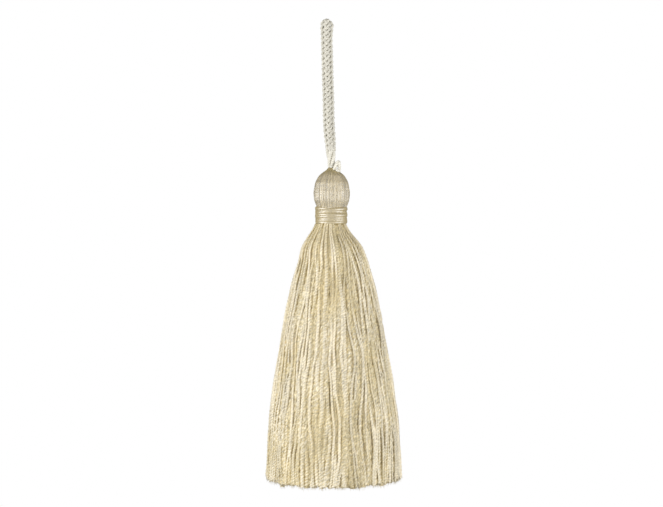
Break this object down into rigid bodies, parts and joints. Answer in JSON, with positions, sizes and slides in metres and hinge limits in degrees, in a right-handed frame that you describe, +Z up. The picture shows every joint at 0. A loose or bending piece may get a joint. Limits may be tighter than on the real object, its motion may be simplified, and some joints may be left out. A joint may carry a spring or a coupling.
{
  "type": "silk tassel",
  "caption": "Cream silk tassel: ball head, wound neck binding and a flaring skirt of loose yarn, hung from a slim knitted cord.",
  "frame": {"origin": "top of the hanging cord's fastened end, where the tassel is held up", "axes": "+Z up along the tassel, -Y towards the side in the picture, +X to the right there"},
  "size_m": [0.0557, 0.0556, 0.1887],
  "materials": {
    "skirt_silk": "soft cream yarn with a silky sheen",
    "binding_silk": "smooth glossy silk thread, wound flat",
    "cord_silk": "pale knitted silk cord"
  },
  "bodies": {
    "root": {"yarn_bundle": "skirt_silk", "neck_binding": "binding_silk", "hanging_cord": "cord_silk", "cord_tail": "cord_silk"}
  },
  "joints": []
}
